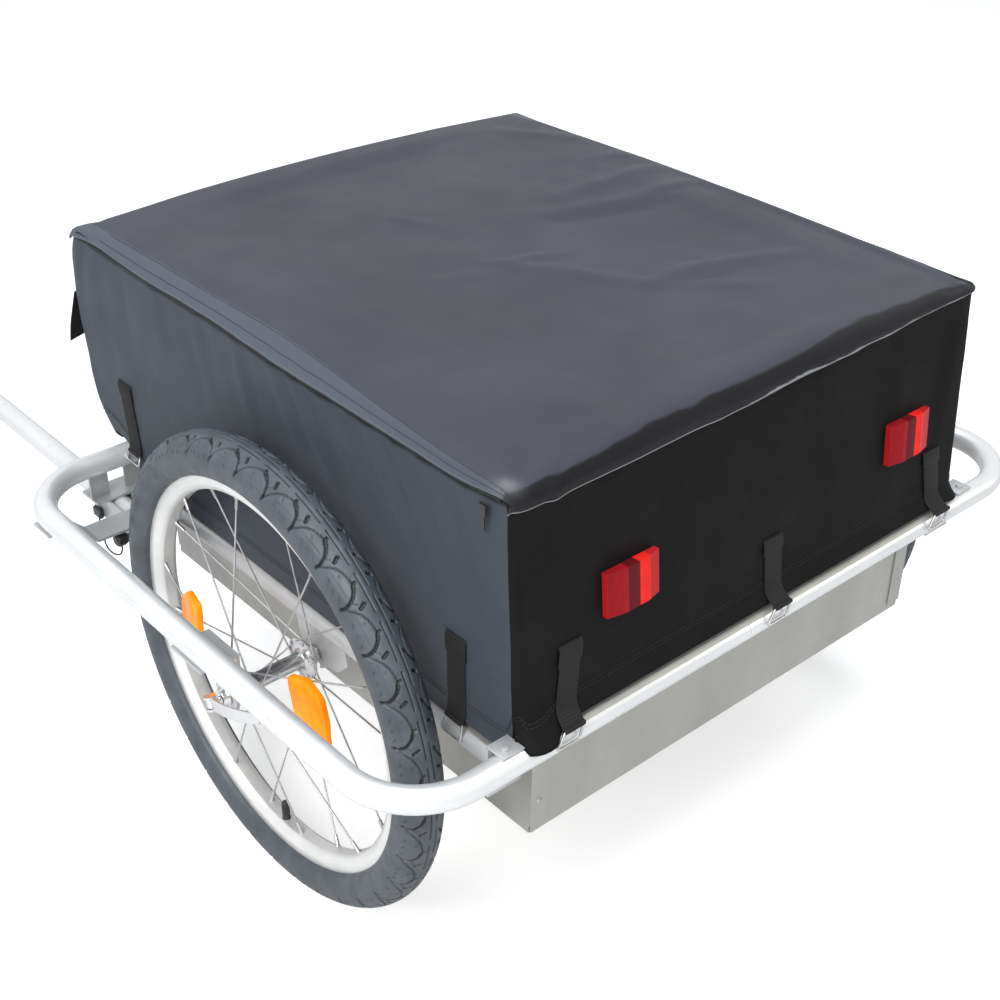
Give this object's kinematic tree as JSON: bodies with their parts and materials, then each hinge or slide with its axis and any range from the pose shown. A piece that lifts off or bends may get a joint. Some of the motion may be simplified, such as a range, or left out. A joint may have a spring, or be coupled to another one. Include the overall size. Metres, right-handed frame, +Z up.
{
  "type": "bicycle cargo trailer",
  "caption": "Two-wheeled bicycle cargo trailer: sheet metal tub in a bent tube loop, zipped fabric cover on hoops, spoked wheels and a side tow arm with a swivel hitch.",
  "frame": {"origin": "on the ground, at the middle of the trailer's footprint", "axes": "+Y towards the towing bicycle, +X to the trailer's right, +Z up"},
  "size_m": [0.889, 1.7, 0.5732],
  "materials": {
    "frame_silver": "satin silver powder coat",
    "tub_sheet": "satin silver sheet, slightly scuffed",
    "rim_alloy": "satin, silver anodised",
    "bright_steel": "bright plated",
    "tyre_rubber": "matte with a fine tread",
    "black_plastic": "matte",
    "cover_fabric": "coated woven polyester with a soft sheen",
    "webbing": "woven polyester webbing",
    "amber_lens": "clear prismatic plastic",
    "red_lens": "clear prismatic plastic"
  },
  "bodies": {
    "frame": {"axle_left": "bright_steel", "axle_right": "bright_steel", "skewer_left": "bright_steel", "skewer_right": "bright_steel", "perimeter_tube_left": "frame_silver", "perimeter_tube_right": "frame_silver", "side_rail_left": "frame_silver", "side_rail_right": "frame_silver", "corner_bracket_rear_left": "frame_silver", "corner_bracket_rear_right": "frame_silver", "corner_bracket_front_left": "frame_silver", "corner_bracket_front_right": "frame_silver", "inner_dropout_left": "frame_silver", "inner_dropout_right": "frame_silver", "outer_dropout_left": "frame_silver", "outer_dropout_right": "frame_silver", "tub_pan": "tub_sheet", "tub_rear_panel": "tub_sheet", "tub_front_panel": "tub_sheet", "arm_plate_rear": "frame_silver", "arm_plate_front": "frame_silver", "arm_socket": "frame_silver", "tow_arm": "frame_silver", "tether_clip": "black_plastic", "pin_tether": "black_plastic", "hitch_yoke": "bright_steel", "rear_hoop": "frame_silver", "front_hoop": "frame_silver", "top_bar_left": "frame_silver", "top_bar_right": "frame_silver", "cover_walls": "cover_fabric", "strap_rear_left": "webbing", "strap_rear_centre": "webbing", "strap_rear_right": "webbing", "strap_left_rear": "webbing", "strap_left_front": "webbing", "strap_right_rear": "webbing", "strap_right_front": "webbing", "tail_reflector_left": "red_lens", "tail_reflector_right": "red_lens"},
    "wheel_left": {"tyre_left": "tyre_rubber", "rim_left": "rim_alloy", "hub_and_spokes_left": "bright_steel", "valve_left": "black_plastic", "spoke_reflector_left_rear": "amber_lens", "spoke_reflector_left_front": "amber_lens"},
    "wheel_right": {"tyre_right": "tyre_rubber", "rim_right": "rim_alloy", "hub_and_spokes_right": "bright_steel", "valve_right": "black_plastic", "spoke_reflector_right_rear": "amber_lens", "spoke_reflector_right_front": "amber_lens"},
    "qr_lever_left": {"quick_release_left": "bright_steel"},
    "qr_lever_right": {"quick_release_right": "bright_steel"},
    "lock_pin": {"lock_pin": "black_plastic"},
    "swivel": {"hitch_swivel": "bright_steel"},
    "coupler": {"hitch_coupler": "bright_steel"},
    "lid": {"cover_lid": "cover_fabric"},
    "zip_left": {"zip_slider_left": "black_plastic"},
    "zip_right": {"zip_slider_right": "black_plastic"}
  },
  "joints": [
    {"name": "wheel_left_spin", "type": "hinge", "parent": "frame", "child": "wheel_left", "pos_m": [-0.35, -0.51655, 0.25], "axis": [1, 0, 0], "continuous": true},
    {"name": "wheel_right_spin", "type": "hinge", "parent": "frame", "child": "wheel_right", "pos_m": [0.35, -0.51655, 0.25], "axis": [1, 0, 0], "continuous": true},
    {"name": "qr_left_flip", "type": "hinge", "parent": "frame", "child": "qr_lever_left", "pos_m": [-0.4207, -0.51655, 0.25], "axis": [0, -0.3584, -0.9336], "range_deg": [0, 175]},
    {"name": "qr_right_flip", "type": "hinge", "parent": "frame", "child": "qr_lever_right", "pos_m": [0.4207, -0.51655, 0.25], "axis": [0, 0.3584, 0.9336], "range_deg": [0, 175]},
    {"name": "lock_pin_pull", "type": "slide", "parent": "frame", "child": "lock_pin", "axis": [-1, 0, 0], "range_m": [0, 0.045]},
    {"name": "hitch_yaw", "type": "hinge", "parent": "frame", "child": "swivel", "pos_m": [-0.08, 0.7345, 0.2699], "axis": [0, 0, 1], "range_deg": [-60, 60]},
    {"name": "hitch_pitch", "type": "hinge", "parent": "swivel", "child": "coupler", "pos_m": [-0.08, 0.7575, 0.2699], "axis": [1, 0, 0], "range_deg": [-35, 35]},
    {"name": "lid_open", "type": "hinge", "parent": "frame", "child": "lid", "pos_m": [0, -0.12455, 0.5712], "axis": [-1, 0, 0], "range_deg": [0, 180]},
    {"name": "zip_left_run", "type": "slide", "parent": "frame", "child": "zip_left", "axis": [0, 1, 0], "range_m": [0, 0.6]},
    {"name": "zip_right_run", "type": "slide", "parent": "frame", "child": "zip_right", "axis": [0, 1, 0], "range_m": [0, 0.6]}
  ]
}
